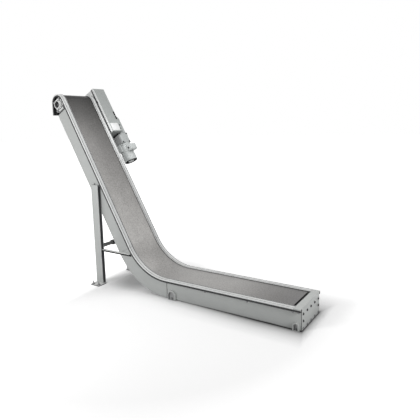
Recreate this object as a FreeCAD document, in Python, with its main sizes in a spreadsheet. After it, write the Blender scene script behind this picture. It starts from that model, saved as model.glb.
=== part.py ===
"""Magnetic slide conveyor: a flat load section on the floor, a bend, and a 60 degree incline to a drive head.

Millimetres, +Z up. The origin is the middle of the load section's underside, where it stands on the floor.
+X runs along the load section towards its closed tail end, so the incline rises towards -X.
The near side, with the head bearing, faces -Y, and the drive is on the far side, +Y.
"""

import FreeCAD, Part
import math
import os
import Sketcher

doc = FreeCAD.newDocument("MagneticSlideConveyor")
sheet = doc.addObject("Spreadsheet::Sheet", "Sizes")


# Sizes

class Size:
    """A number that also carries the expression it comes from, so that what uses it stays bound to the sheet."""

    def __init__(self, value, text):
        self.value = value
        self.text = text

    def __add__(self, other):
        other = size(other)
        return Size(self.value + other.value, "(" + self.text + " + " + other.text + ")")

    def __sub__(self, other):
        other = size(other)
        return Size(self.value - other.value, "(" + self.text + " - " + other.text + ")")

    def __mul__(self, other):
        other = size(other)
        return Size(self.value * other.value, "(" + self.text + " * " + other.text + ")")

    def __truediv__(self, other):
        other = size(other)
        return Size(self.value / other.value, "(" + self.text + " / " + other.text + ")")

    def __neg__(self):
        return Size(-self.value, "(0 - " + self.text + ")")

    def __radd__(self, other):
        return size(other) + self

    def __rsub__(self, other):
        return size(other) - self

    def __rmul__(self, other):
        return size(other) * self


def size(value):
    if isinstance(value, Size):
        return value
    return Size(float(value), repr(float(value)))


def sine(angle):
    return Size(math.sin(math.radians(angle.value)), "sin(" + angle.text + ")")


def cosine(angle):
    return Size(math.cos(math.radians(angle.value)), "cos(" + angle.text + ")")


# Driving dimensions

SIZES = {
    # The body's run and cross-section
    "LoadLength": 1406,
    "BendRadius": 717,
    "InclineAngle": 60,
    "InclineLength": 1765,
    "BodyWidth": 400,
    "SideHeight": 174,
    "SideThick": 5,
    "FlangeWidth": 40,
    "FlangeThick": 4,
    "RimOverhang": 23,
    "RimSeat": 30,
    "RimHeight": 21,
    "RimThick": 4,
    "BedThick": 3,
    "BedRecess": 8,
    "BedGap": 0.3,
    "PanThick": 4,
    # Tail end
    "EndPlateThick": 6,
    "TailCapLength": 67,
    "TailSlot": 18,
    # Head end
    "SideSetback": 100,
    "LipDrop": 131,
    "HeadPlateThick": 10,
    "HeadPlateClear": 1,
    "HeadPlateLap": 40,
    "ShaftSetback": 18,
    "BearingSquare": 130,
    "BearingFlange": 20,
    "BearingDepth": 46,
    "BearingHubRadius": 44,
    "BearingHoleInset": 14,
    "BearingHoleRadius": 6.5,
    "ShaftRadius": 20,
    "ShaftClear": 0.05,
    "ShaftEnd": 4,
    # Drive
    "DrivePlateGap": 26,
    "DrivePlateThick": 6,
    "GuardLength": 570,
    "GuardBeyondShaft": 130,
    "GuardDepth": 158,
    "GuardLow": 20,
    "GuardHigh": 228,
    "GuardThick": 3,
    "SpacerRadius": 12,
    "SpacerInset": 45,
    "SpacerHigh": 140,
    "ChainDistance": 249,
    "CaseRadius": 77,
    "CaseDepth": 69,
    "DriveHeight": 110,
    "GearLength": 130,
    "GearWidth": 125,
    "GearInset": 75,
    "GearHeight": 154,
    "GearGap": 5,
    "MotorOffset": 37,
    "MotorRadius": 74,
    "MotorLength": 120,
    "CowlRadius": 77,
    "CowlLength": 98,
    "TerminalLength": 75,
    "TerminalWidth": 95,
    "TerminalHeight": 58,
    "TerminalSetback": 42,
    "BracketThick": 8,
    "BracketHeight": 110,
    "CheekHeight": 97,
    "CheekThick": 12,
    "CheekClear": 2,
    "CheekSetback": 30,
    # Legs and what stands on the floor
    "LegSetback": 279,
    "LegWidth": 100,
    "LegDepth": 41,
    "LegThick": 6,
    "LegHeight": 1070,
    "FootLength": 125,
    "FootWidth": 110,
    "FootThick": 10,
    "FootHoleSpacing": 80,
    "FootHoleInset": 18,
    "FootHoleRadius": 7,
    "TieRadius": 20,
    "TieWall": 3,
    "TieHeight": 404,
    "BraceSize": 30,
    "BraceThick": 4,
    "BraceTop": 382,
    "BraceLength": 394,
    "TailLugWidth": 56,
    "TailLugHeight": 72,
    "TailLugSetback": 48,
    "MidLugWidth": 92,
    "MidLugHeight": 94,
    "MidLugSetback": 1340,
    "LugReach": 22,
    "LugThick": 6,
    "LugWall": 10,
    "LugHoleRadius": 5,
}


class Driving:
    """Every driving dimension, written to the sheet and kept under its own name."""

    def __init__(self, sizes):
        for row, (name, value) in enumerate(sizes.items(), 1):
            sheet.set("A" + str(row), name)
            sheet.set("B" + str(row), str(value))
            sheet.setAlias("B" + str(row), name)
            setattr(self, name, Size(float(value), "Sizes." + name))


dim = Driving(SIZES)
HalfWidth = dim.BodyWidth / 2
TailX = dim.LoadLength / 2
BendX = -dim.LoadLength / 2
FullHeight = dim.SideHeight + dim.RimHeight


# Frames: each has its origin in the plane y = 0 and is turned about Y. In all of them x points back towards the
# tail and z points out of the bed's upper side. Lift is the origin's own height above the underside.

class Frame:
    def __init__(self, x, z, angle, lift):
        self.x = size(x)
        self.z = size(z)
        self.angle = size(angle)
        self.lift = size(lift)

    def world(self, x, z):
        """World x and z of a point of this frame."""
        x = size(x)
        z = size(z)
        if self.angle.value == 0:
            return self.x + x, self.z + z
        return (
            self.x + x * cosine(self.angle) + z * sine(self.angle),
            self.z - x * sine(self.angle) + z * cosine(self.angle),
        )


HeadCentre = FullHeight / 2
floor = Frame(0, 0, 0, 0)
bend = Frame(BendX, dim.BendRadius, 0, dim.BendRadius)
incline = Frame(
    BendX - dim.BendRadius * sine(dim.InclineAngle),
    dim.BendRadius * (1 - cosine(dim.InclineAngle)),
    dim.InclineAngle,
    0,
)
head_x, head_z = incline.world(-dim.InclineLength, HeadCentre)
head = Frame(head_x, head_z, dim.InclineAngle, HeadCentre)
lip = Frame(head_x, head_z, size(-90), HeadCentre)


# Ways of making a piece

parts = []


def bind(thing, **values):
    """Tie each property of the object to the sheet."""
    for name, value in values.items():
        thing.setExpression(name, size(value).text)


def place(thing, frame, x, y, z, direction="z"):
    """Put the object's own origin at a point of the frame, with its z axis along the frame's x, y or z."""
    at_x, at_z = frame.world(x, z)
    if direction == "y":
        turn = FreeCAD.Rotation(FreeCAD.Vector(1, 0, 0), -90)
    else:
        turn = FreeCAD.Rotation(FreeCAD.Vector(0, 1, 0), 45)
    thing.Placement = FreeCAD.Placement(FreeCAD.Vector(0, 0, 0), turn)
    if direction == "x":
        thing.setExpression("Placement.Rotation.Angle", (frame.angle + 90).text)
    if direction == "z":
        thing.setExpression("Placement.Rotation.Angle", frame.angle.text)
    thing.setExpression("Placement.Base.x", at_x.text)
    thing.setExpression("Placement.Base.y", size(y).text)
    thing.setExpression("Placement.Base.z", at_z.text)


def box(name, frame, low, high):
    """A block from its low corner to its high corner in the frame."""
    block = doc.addObject("Part::Box", name)
    low = [size(value) for value in low]
    high = [size(value) for value in high]
    bind(block, Length=high[0] - low[0], Width=high[1] - low[1], Height=high[2] - low[2])
    place(block, frame, low[0], low[1], low[2])
    return block


def rod(name, frame, start, direction, radius, length):
    """A cylinder from its start point along the frame's x, y or z."""
    cylinder = doc.addObject("Part::Cylinder", name)
    bind(cylinder, Radius=radius, Height=length)
    place(cylinder, frame, start[0], start[1], start[2], direction)
    return cylinder


def join(name, *pieces):
    result = doc.addObject("Part::MultiFuse", name)
    result.Shapes = list(pieces)
    result.Refine = True
    return result


def cut(name, base, *tools):
    tool = tools[0]
    if len(tools) > 1:
        tool = join(name + "Cutters", *tools)
    result = doc.addObject("Part::Cut", name)
    result.Base = base
    result.Tool = tool
    result.Refine = True
    return result


def outline(body, plane, points):
    """A closed sketch of straight lines on one of the body's own origin planes, each corner bound."""
    sketch = body.newObject("Sketcher::SketchObject", body.Name + "Sketch")
    for item in body.Origin.OriginFeatures:
        if item.Role == plane:
            sketch.AttachmentSupport = [(item, "")]
    sketch.MapMode = "FlatFace"
    corners = [FreeCAD.Vector(size(u).value, size(v).value, 0) for u, v in points]
    for index, corner in enumerate(corners):
        sketch.addGeometry(Part.LineSegment(corner, corners[(index + 1) % len(corners)]), False)
    for index in range(len(corners)):
        following = (index + 1) % len(corners)
        sketch.addConstraint(Sketcher.Constraint("Coincident", index, 2, following, 1))
    for index, (u, v) in enumerate(points):
        for kind, value in (("DistanceX", size(u)), ("DistanceY", size(v))):
            number = sketch.addConstraint(Sketcher.Constraint(kind, -1, 1, index, 1, value.value))
            sketch.setExpression("Constraints[" + str(number) + "]", value.text)
    return sketch


def lifted(frame, section):
    return [(y, height - frame.lift) for y, height in section]


def run(name, frame, section, start, end):
    """The cross-section drawn out straight along the frame's x."""
    body = doc.addObject("PartDesign::Body", name)
    place(body, frame, start, 0, 0)
    pad = body.newObject("PartDesign::Pad", name + "Pad")
    pad.Profile = outline(body, "YZ_Plane", lifted(frame, section))
    bind(pad, Length=size(end) - start)
    body.Tip = pad
    return body


def sweep(name, frame, section, angle, downhill):
    """The cross-section turned about the frame's own Y axis."""
    body = doc.addObject("PartDesign::Body", name)
    place(body, frame, 0, 0, 0)
    sketch = outline(body, "YZ_Plane", lifted(frame, section))
    turn = body.newObject("PartDesign::Revolution", name + "Turn")
    turn.Profile = sketch
    turn.ReferenceAxis = (sketch, ["H_Axis"])
    turn.Reversed = downhill
    bind(turn, Angle=angle)
    body.Tip = turn
    return body


def part(name, thing):
    """Name a finished sub-part."""
    thing.Label = name
    parts.append(thing)
    return thing


# Cross-sections, as points (y, height above the underside). Side is -1 for the near side and 1 for the far side.

def side_section(side):
    outer = HalfWidth * side
    inner = (HalfWidth - dim.SideThick) * side
    flange = (HalfWidth - dim.FlangeWidth) * side
    return [
        (outer, size(0)),
        (flange, size(0)),
        (flange, dim.FlangeThick),
        (inner, dim.FlangeThick),
        (inner, dim.SideHeight - dim.FlangeThick),
        (flange, dim.SideHeight - dim.FlangeThick),
        (flange, dim.SideHeight),
        (outer, dim.SideHeight),
    ]


def rim_section(side):
    outer = (HalfWidth + dim.RimOverhang) * side
    outer_wall = (HalfWidth + dim.RimOverhang - dim.RimThick) * side
    inner_wall = (HalfWidth - dim.RimSeat + dim.RimThick) * side
    inner = (HalfWidth - dim.RimSeat) * side
    return [
        (outer, dim.SideHeight),
        (outer_wall, dim.SideHeight),
        (outer_wall, FullHeight - dim.RimThick),
        (inner_wall, FullHeight - dim.RimThick),
        (inner_wall, dim.SideHeight),
        (inner, dim.SideHeight),
        (inner, FullHeight),
        (outer, FullHeight),
    ]


BedHalf = HalfWidth - dim.RimSeat - dim.BedGap
BedTop = FullHeight - dim.BedRecess


def bed_section():
    return [
        (-BedHalf, dim.SideHeight),
        (dim.BedThick - BedHalf, dim.SideHeight),
        (dim.BedThick - BedHalf, BedTop - dim.BedThick),
        (BedHalf - dim.BedThick, BedTop - dim.BedThick),
        (BedHalf - dim.BedThick, dim.SideHeight),
        (BedHalf, dim.SideHeight),
        (BedHalf, BedTop),
        (-BedHalf, BedTop),
    ]


def pan_section():
    inner = HalfWidth - dim.FlangeWidth
    return [(-inner, size(0)), (inner, size(0)), (inner, dim.PanThick), (-inner, dim.PanThick)]


# Side frames, bottom pan, bed and rims, each in its load, bend and incline lengths

PlateX = TailX - dim.EndPlateThick
RimEndX = TailX - dim.TailCapLength
BedEndX = RimEndX - dim.TailSlot
SideEnd = dim.SideSetback - dim.InclineLength

for label, side in (("near", -1), ("far", 1)):
    part("side_frame_" + label + "_load", run("Side" + label + "Load", floor, side_section(side), BendX, PlateX))
    part(
        "side_frame_" + label + "_bend",
        sweep("Side" + label + "Bend", bend, side_section(side), dim.InclineAngle, False),
    )
    part("side_frame_" + label + "_incline", run("Side" + label + "Incline", incline, side_section(side), SideEnd, 0))
    part("side_rim_" + label + "_load", run("Rim" + label + "Load", floor, rim_section(side), BendX, RimEndX))
    part("side_rim_" + label + "_bend", sweep("Rim" + label + "Bend", bend, rim_section(side), dim.InclineAngle, False))
    part(
        "side_rim_" + label + "_incline",
        run("Rim" + label + "Incline", incline, rim_section(side), -dim.InclineLength, 0),
    )
    part(
        "side_rim_" + label + "_head",
        join(
            "Rim" + label + "Head",
            sweep("Rim" + label + "HeadTurn", head, rim_section(side), dim.InclineAngle + 90, True),
            run("Rim" + label + "Lip", lip, rim_section(side), -dim.LipDrop, 0),
        ),
    )

part("bottom_pan_load", run("PanLoad", floor, pan_section(), BendX, PlateX))
part("bottom_pan_bend", sweep("PanBend", bend, pan_section(), dim.InclineAngle, False))
part("bottom_pan_incline", run("PanIncline", incline, pan_section(), SideEnd, 0))
part("slide_bed_load", run("BedLoad", floor, bed_section(), BendX, BedEndX))
part("slide_bed_bend", sweep("BedBend", bend, bed_section(), dim.InclineAngle, False))
part("slide_bed_incline", run("BedIncline", incline, bed_section(), -dim.InclineLength, 0))
part(
    "slide_bed_head",
    join(
        "BedHead",
        sweep("BedHeadTurn", head, bed_section(), dim.InclineAngle + 90, True),
        run("BedLip", lip, bed_section(), -dim.LipDrop, 0),
    ),
)


# Tail end plate, and the cap that closes the top behind the slot

RimOuter = HalfWidth + dim.RimOverhang
part(
    "tail_end_plate",
    box("EndPlate", floor, (PlateX, -HalfWidth, 0), (TailX, HalfWidth, FullHeight - dim.RimThick)),
)
part(
    "tail_cap",
    cut(
        "TailCap",
        box("CapOuter", floor, (RimEndX, -RimOuter, dim.SideHeight), (TailX, RimOuter, FullHeight)),
        box(
            "CapInner",
            floor,
            (RimEndX + dim.RimThick, dim.RimThick - RimOuter, dim.SideHeight - 1),
            (TailX + 1, RimOuter - dim.RimThick, FullHeight - dim.RimThick),
        ),
    ),
)


# Head plates, which carry on the side frames round the shaft, with the bearings on their outer faces

HeadPlateRadius = dim.SideHeight - dim.FlangeThick - HeadCentre - dim.HeadPlateClear
PlateSeat = HalfWidth - dim.SideThick
ShaftX = dim.ShaftSetback


def head_plate(name, side):
    """A round-ended plate lapped inside the side frame's web."""
    low = -PlateSeat if side < 0 else PlateSeat - dim.HeadPlateThick
    disc = rod(name + "Disc", head, (0, low, 0), "y", HeadPlateRadius, dim.HeadPlateThick)
    tongue = box(
        name + "Tongue",
        head,
        (0, low, -HeadPlateRadius),
        (dim.SideSetback + dim.HeadPlateLap, low + dim.HeadPlateThick, HeadPlateRadius),
    )
    bore = rod(
        name + "Bore",
        head,
        (ShaftX, low - 1, 0),
        "y",
        dim.ShaftRadius + dim.HeadPlateClear,
        dim.HeadPlateThick + 2,
    )
    return cut(name, join(name + "Blank", disc, tongue), bore)


def bearing(name, seat, side):
    """A square four-bolt flange with a round hub, its seat face at the given y."""
    flange_low = seat - dim.BearingFlange if side < 0 else seat
    hub_low = seat - dim.BearingDepth if side < 0 else seat
    half = dim.BearingSquare / 2
    hole = half - dim.BearingHoleInset
    flange = box(
        name + "Flange",
        head,
        (ShaftX - half, flange_low, -half),
        (ShaftX + half, flange_low + dim.BearingFlange, half),
    )
    hub = rod(name + "Hub", head, (ShaftX, hub_low, 0), "y", dim.BearingHubRadius, dim.BearingDepth)
    cutters = [
        rod(
            name + "Bore",
            head,
            (ShaftX, hub_low - 1, 0),
            "y",
            dim.ShaftRadius + dim.ShaftClear,
            dim.BearingDepth + 2,
        )
    ]
    for number, (along, up) in enumerate(((-1, -1), (-1, 1), (1, -1), (1, 1))):
        cutters.append(
            rod(
                name + "Hole" + str(number),
                head,
                (ShaftX + hole * along, flange_low - 1, hole * up),
                "y",
                dim.BearingHoleRadius,
                dim.BearingFlange + 2,
            )
        )
    return cut(name, join(name + "Blank", flange, hub), *cutters)


DrivePlateY = HalfWidth + dim.DrivePlateGap
GuardY = DrivePlateY + dim.DrivePlateThick
part("head_plate_near", head_plate("HeadPlateNear", -1))
part("head_plate_far", head_plate("HeadPlateFar", 1))
part("bearing_housing_near", bearing("BearingNear", -PlateSeat, -1))
part("bearing_housing_far", bearing("BearingFar", GuardY, 1))
ShaftStart = -PlateSeat - dim.BearingDepth - dim.ShaftEnd
ShaftStop = GuardY + dim.BearingDepth + dim.ShaftEnd
part(
    "head_shaft",
    rod("HeadShaft", head, (ShaftX, ShaftStart, 0), "y", dim.ShaftRadius, ShaftStop - ShaftStart),
)


# Drive plate on spacers at the far side, and the guard over the drive chain

GuardTop = -dim.InclineLength - dim.GuardBeyondShaft
GuardBottom = GuardTop + dim.GuardLength
GuardOuter = GuardY + dim.GuardDepth
ShaftS = dim.ShaftSetback - dim.InclineLength
plate = box("DrivePlateBlank", incline, (GuardTop, DrivePlateY, dim.GuardLow), (GuardBottom, GuardY, dim.GuardHigh))
spacers = []
for number, (s, n) in enumerate(
    (
        (GuardBottom - dim.SpacerInset, dim.GuardLow + dim.SpacerInset),
        (GuardBottom - dim.SpacerInset, dim.SpacerHigh),
        (SideEnd + dim.SpacerInset, dim.GuardLow + dim.SpacerInset),
        (SideEnd + dim.SpacerInset, dim.SpacerHigh),
    )
):
    spacers.append(rod("Spacer" + str(number), incline, (s, HalfWidth, n), "y", dim.SpacerRadius, dim.DrivePlateGap))
part(
    "drive_plate",
    cut(
        "DrivePlate",
        join("DrivePlateSpacers", plate, *spacers),
        rod(
            "DrivePlateBore",
            incline,
            (ShaftS, DrivePlateY - 1, HeadCentre),
            "y",
            dim.ShaftRadius + dim.HeadPlateClear,
            dim.DrivePlateThick + 2,
        ),
    ),
)
part(
    "drive_guard",
    cut(
        "DriveGuard",
        box("GuardOuterBlock", incline, (GuardTop, GuardY, dim.GuardLow), (GuardBottom, GuardOuter, dim.GuardHigh)),
        box(
            "GuardInnerBlock",
            incline,
            (GuardTop + dim.GuardThick, GuardY - 1, dim.GuardLow + dim.GuardThick),
            (GuardBottom - dim.GuardThick, GuardOuter - dim.GuardThick, dim.GuardHigh - dim.GuardThick),
        ),
    ),
)


# Gear case on the guard's outer face, gear reducer, motor with its fan cowl and terminal box, and the bracket
# on the side frame, whose shelf carries the reducer and whose cheek stands beside the motor

CaseS = ShaftS + dim.ChainDistance
GearTop = GuardBottom + dim.GearGap
GearBottom = GearTop + dim.GearLength
MotorY = GuardOuter + dim.MotorOffset
GearInner = MotorY - dim.GearInset
GearLow = dim.DriveHeight - dim.GearHeight / 2
GearHigh = dim.DriveHeight + dim.GearHeight / 2
MotorEnd = GearBottom + dim.MotorLength
part(
    "gear_case",
    join(
        "GearCase",
        rod("CaseDisc", incline, (CaseS, GuardOuter, dim.DriveHeight), "y", dim.CaseRadius, dim.CaseDepth),
        box(
            "CaseNeck",
            incline,
            (CaseS, GuardOuter, dim.DriveHeight - dim.CaseRadius),
            (GearTop, GuardOuter + dim.CaseDepth, dim.DriveHeight + dim.CaseRadius),
        ),
    ),
)
part(
    "gear_reducer",
    box(
        "GearReducer",
        incline,
        (GearTop, GearInner, GearLow),
        (GearBottom, GearInner + dim.GearWidth, GearHigh),
    ),
)
part(
    "motor_body",
    rod("MotorBody", incline, (GearBottom, MotorY, dim.DriveHeight), "x", dim.MotorRadius, dim.MotorLength),
)
part(
    "motor_fan_cowl",
    rod("MotorCowl", incline, (MotorEnd, MotorY, dim.DriveHeight), "x", dim.CowlRadius, dim.CowlLength),
)
TerminalTop = GearBottom + dim.TerminalSetback
part(
    "terminal_box",
    cut(
        "TerminalBox",
        box(
            "TerminalBlock",
            incline,
            (TerminalTop, MotorY - dim.TerminalWidth / 2, dim.DriveHeight),
            (
                TerminalTop + dim.TerminalLength,
                MotorY + dim.TerminalWidth / 2,
                dim.DriveHeight + dim.MotorRadius + dim.TerminalHeight,
            ),
        ),
        rod(
            "TerminalSaddle",
            incline,
            (TerminalTop - 1, MotorY, dim.DriveHeight),
            "x",
            dim.MotorRadius,
            dim.TerminalLength + 2,
        ),
    ),
)
CheekEnd = MotorEnd - dim.CheekSetback
CheekOuter = MotorY - dim.MotorRadius - dim.CheekClear
part(
    "gear_bracket",
    join(
        "GearBracket",
        box(
            "BracketShelf",
            incline,
            (GearTop, HalfWidth, GearLow - dim.BracketThick),
            (GearBottom, GearInner + dim.GearWidth, GearLow),
        ),
        box(
            "BracketWall",
            incline,
            (GearTop, HalfWidth, GearLow),
            (GearBottom, HalfWidth + dim.BracketThick, GearLow + dim.BracketHeight),
        ),
        box(
            "BracketTongue",
            incline,
            (GearBottom, HalfWidth, GearLow - dim.BracketThick),
            (CheekEnd, CheekOuter, GearLow),
        ),
        box(
            "BracketCheek",
            incline,
            (GearBottom, CheekOuter - dim.CheekThick, GearLow),
            (CheekEnd, CheekOuter, GearLow + dim.CheekHeight),
        ),
    ),
)


# Legs, foot plates, cross tie and braces

LegX = incline.x - dim.LegSetback
LegLow = LegX - dim.LegWidth / 2
LegHigh = LegX + dim.LegWidth / 2


def leg(name, side):
    """A channel that stands on the foot plate, open towards the tail, with one flange on the side frame."""
    inner = HalfWidth * side
    inner_face = (HalfWidth + dim.LegThick) * side
    outer_face = (HalfWidth + dim.LegDepth - dim.LegThick) * side
    outer = (HalfWidth + dim.LegDepth) * side
    body = doc.addObject("PartDesign::Body", name)
    place(body, floor, 0, 0, dim.FootThick)
    pad = body.newObject("PartDesign::Pad", name + "Pad")
    pad.Profile = outline(
        body,
        "XY_Plane",
        [
            (LegLow, inner),
            (LegHigh, inner),
            (LegHigh, inner_face),
            (LegLow + dim.LegThick, inner_face),
            (LegLow + dim.LegThick, outer_face),
            (LegHigh, outer_face),
            (LegHigh, outer),
            (LegLow, outer),
        ],
    )
    bind(pad, Length=dim.LegHeight - dim.FootThick)
    body.Tip = pad
    return body


def foot(name, side):
    outer = HalfWidth + dim.FootWidth
    low = -outer if side < 0 else HalfWidth
    hole_y = (outer - dim.FootHoleInset) * side
    blank = box(
        name + "Blank",
        floor,
        (LegX - dim.FootLength / 2, low, 0),
        (LegX + dim.FootLength / 2, low + dim.FootWidth, dim.FootThick),
    )
    holes = [
        rod(
            name + "Hole" + str(number),
            floor,
            (LegX + dim.FootHoleSpacing / 2 * along, hole_y, -1),
            "z",
            dim.FootHoleRadius,
            dim.FootThick + 2,
        )
        for number, along in enumerate((-1, 1))
    ]
    return cut(name, blank, *holes)


def brace(name, side):
    """An angle along the side frame's outer face, from the leg to the bend, its flat leg on top."""
    face = HalfWidth * side
    upright = (HalfWidth + dim.BraceThick) * side
    edge = (HalfWidth + dim.BraceSize) * side
    body = doc.addObject("PartDesign::Body", name)
    place(body, floor, LegHigh, 0, 0)
    pad = body.newObject("PartDesign::Pad", name + "Pad")
    pad.Profile = outline(
        body,
        "YZ_Plane",
        [
            (face, dim.BraceTop - dim.BraceSize),
            (upright, dim.BraceTop - dim.BraceSize),
            (upright, dim.BraceTop - dim.BraceThick),
            (edge, dim.BraceTop - dim.BraceThick),
            (edge, dim.BraceTop),
            (face, dim.BraceTop),
        ],
    )
    bind(pad, Length=dim.BraceLength)
    body.Tip = pad
    return body


for label, side in (("near", -1), ("far", 1)):
    part("leg_" + label, leg("Leg" + label, side))
    part("foot_plate_" + label, foot("Foot" + label, side))
    part("brace_" + label, brace("Brace" + label, side))

part(
    "cross_tie",
    cut(
        "CrossTie",
        rod("TieOuter", floor, (LegX, -HalfWidth, dim.TieHeight), "y", dim.TieRadius, dim.BodyWidth),
        rod(
            "TieInner",
            floor,
            (LegX, -HalfWidth - 1, dim.TieHeight),
            "y",
            dim.TieRadius - dim.TieWall,
            dim.BodyWidth + 2,
        ),
    ),
)


# Floor lugs: a round-topped block on the side frame, hollowed from the front over its one anchor hole

def lug(name, x, width, height, side):
    half = width / 2
    low = -HalfWidth - dim.LugReach if side < 0 else HalfWidth
    hollow_low = low - 1 if side < 0 else HalfWidth + dim.LugThick
    hollow_half = half - dim.LugWall
    hollow_top = height - half
    hole_y = (HalfWidth + (dim.LugThick + dim.LugReach) / 2) * side
    block = box(name + "Block", floor, (x - half, low, 0), (x + half, low + dim.LugReach, hollow_top))
    crown = rod(name + "Crown", floor, (x, low, hollow_top), "y", half, dim.LugReach)
    hollow = box(
        name + "Hollow",
        floor,
        (x - hollow_half, hollow_low, dim.LugThick),
        (x + hollow_half, hollow_low + dim.LugReach - dim.LugThick + 1, hollow_top),
    )
    arch = rod(
        name + "Arch",
        floor,
        (x, hollow_low, hollow_top),
        "y",
        hollow_half,
        dim.LugReach - dim.LugThick + 1,
    )
    hole = rod(name + "Hole", floor, (x, hole_y, -1), "z", dim.LugHoleRadius, dim.LugThick + 2)
    return cut(name, join(name + "Blank", block, crown), hollow, arch, hole)


for label, side in (("near", -1), ("far", 1)):
    part(
        "floor_lug_" + label + "_tail",
        lug("LugTail" + label, TailX - dim.TailLugSetback, dim.TailLugWidth, dim.TailLugHeight, side),
    )
    part(
        "floor_lug_" + label + "_mid",
        lug("LugMid" + label, TailX - dim.MidLugSetback, dim.MidLugWidth, dim.MidLugHeight, side),
    )


# Check every object, then write one file for each sub-part

doc.recompute()
failed = [thing.Name for thing in doc.Objects if "Invalid" in thing.State or "Error" in thing.State]
if failed:
    raise RuntimeError("these objects failed: " + ", ".join(failed))
os.makedirs("parts", exist_ok=True)
for thing in parts:
    shape = thing.Shape
    if shape.isNull() or not shape.isValid() or len(shape.Solids) != 1:
        raise RuntimeError(thing.Label + " is not one valid solid")
for thing in parts:
    thing.Shape.exportStep("parts/" + thing.Label + ".step")
print(len(parts), "sub-parts")
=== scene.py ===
"""Looks for the magnetic slide conveyor, in metres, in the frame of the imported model.

+X runs along the load section to its closed tail end, +Y is the drive side, +Z is up.
"""

from math import cos, pi, radians, sin

import bmesh
import bpy
from mathutils import Matrix, Vector


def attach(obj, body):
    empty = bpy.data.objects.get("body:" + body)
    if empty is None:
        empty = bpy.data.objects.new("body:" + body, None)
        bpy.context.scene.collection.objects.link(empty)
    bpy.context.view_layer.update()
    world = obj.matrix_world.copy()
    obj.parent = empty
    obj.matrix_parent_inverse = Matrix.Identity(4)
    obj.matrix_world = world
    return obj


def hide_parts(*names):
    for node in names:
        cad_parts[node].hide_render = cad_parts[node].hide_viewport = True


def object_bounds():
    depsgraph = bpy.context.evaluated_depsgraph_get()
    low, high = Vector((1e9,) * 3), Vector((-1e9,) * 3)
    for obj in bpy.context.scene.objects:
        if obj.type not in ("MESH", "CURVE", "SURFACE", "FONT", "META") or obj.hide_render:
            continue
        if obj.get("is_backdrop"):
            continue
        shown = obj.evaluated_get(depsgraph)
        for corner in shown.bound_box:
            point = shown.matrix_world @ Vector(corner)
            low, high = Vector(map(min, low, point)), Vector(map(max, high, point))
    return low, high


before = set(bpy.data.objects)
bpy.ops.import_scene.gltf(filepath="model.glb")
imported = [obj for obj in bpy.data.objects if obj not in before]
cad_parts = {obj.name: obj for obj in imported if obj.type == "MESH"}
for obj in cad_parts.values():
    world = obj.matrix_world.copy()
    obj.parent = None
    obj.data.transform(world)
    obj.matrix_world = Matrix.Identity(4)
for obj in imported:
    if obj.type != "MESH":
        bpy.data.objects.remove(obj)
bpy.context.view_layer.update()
scene = bpy.context.scene
scene.view_settings.view_transform = "Standard"

# Measures that several pieces share. Along the incline x is 0 at its foot and falls towards the head.
sides = (("near", -1), ("far", 1))
tail_end = 0.703
frame_end = 0.697
cap_edge = 0.636
bed_end = 0.610
bend_seam = -0.703
bend_radius = 0.717
incline_angle = radians(60)
frame_reach = -1.665
head_reach = -1.765
head_height = 0.0975
frame_side = 0.200
rim_side = 0.223
seam = 0.0008


# Camera. It stands off the near side of the tail end at head height and looks up the load section
# to the drive head, turned a little to put the conveyor in the left of the frame.

lens = bpy.data.cameras.new("camera")
lens.lens = 36.59
lens.sensor_width = 36
lens.shift_x = -0.07095
lens.shift_y = -0.0883
camera = bpy.data.objects.new("camera", lens)
camera.matrix_world = (
    Matrix.Translation((1.962, -3.262, 1.705))
    @ Matrix.Rotation(radians(30.65), 4, "Z")
    @ Matrix.Rotation(radians(90 - 6.94), 4, "X")
    @ Matrix.Rotation(radians(-1.15), 4, "Z")
)
scene.collection.objects.link(camera)
scene.camera = camera


# Studio. An even white surround, a large soft lamp off the near side of the incline, one overhead, one beyond
# the tail end, and a narrow one into the recess beside the reducer. The pale floor has shadow painted on it
# beside the load section and under the bend, and goes up to white further off.

def fed(tree, node, inputs):
    """The node with its inputs set to values, or joined where they are sockets."""
    for name, value in inputs.items():
        if isinstance(value, bpy.types.NodeSocket):
            tree.links.new(value, node.inputs[name])
        else:
            node.inputs[name].default_value = value
    return node


def add_node(tree, kind, inputs=None, **settings):
    """A shader node with its settings and its inputs."""
    node = tree.nodes.new("ShaderNode" + kind)
    for name, value in settings.items():
        setattr(node, name, value)
    return fed(tree, node, inputs or {})


def maths(tree, operation, *values):
    """The result of a step of arithmetic."""
    return add_node(tree, "Math", dict(enumerate(values)), operation=operation).outputs[0]


def ranged(tree, value, start, end, low=0.0, high=1.0):
    """The value taken from one range to another and held inside it."""
    reach = {"Value": value, "From Min": start, "From Max": end, "To Min": low, "To Max": high}
    return add_node(tree, "MapRange", reach).outputs[0]


def mixed(tree, share, first, second):
    """Two colours mixed."""
    return add_node(tree, "Mix", {"Factor": share, 6: first, 7: second}, data_type="RGBA").outputs[2]


def ramped(tree, value, stops):
    """The colour at a value along a row of (position, colour) stops."""
    node = add_node(tree, "ValToRGB", {"Fac": value})
    ramp = node.color_ramp
    first, *between, last = stops
    for end, (position, colour) in zip(ramp.elements, (first, last)):
        end.position = position
        end.color = colour
    for position, colour in between:
        ramp.elements.new(position).color = colour
    return node.outputs[0]


def object_place(tree):
    """The place of each point in the piece's own coordinates, which are the model's."""
    return add_node(tree, "TexCoord").outputs["Object"]


def new_finish(name):
    """A material and its node tree."""
    finish = bpy.data.materials.new(name)
    finish.use_nodes = True
    return finish, finish.node_tree


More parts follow.
